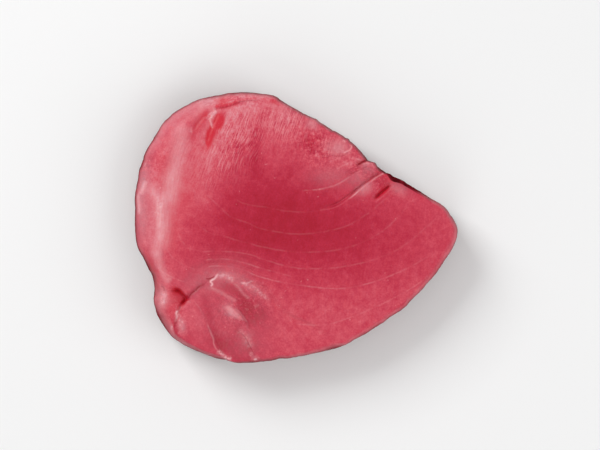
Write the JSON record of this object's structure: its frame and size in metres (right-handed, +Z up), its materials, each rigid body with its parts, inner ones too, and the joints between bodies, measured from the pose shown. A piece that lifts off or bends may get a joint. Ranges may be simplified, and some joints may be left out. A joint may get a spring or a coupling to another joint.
{
  "type": "raw tuna steak",
  "caption": "Thick slice of raw tuna loin, a rounded triangle with a flat cut face below, a rounded shoulder, a parted seam and lifted flakes on top.",
  "frame": {"origin": "on the resting plane, under the middle of the slice's length and width", "axes": "+X points to the blunt tip along the slice's length, +Y to its long straight flank, +Z up from the lower cut face to the upper one"},
  "size_m": [0.129, 0.108, 0.0219],
  "materials": {
    "raw_tuna": "moist, deep rose red flesh with thin pale bands of connective tissue"
  },
  "bodies": {
    "root": {"steak": "raw_tuna"}
  },
  "joints": []
}
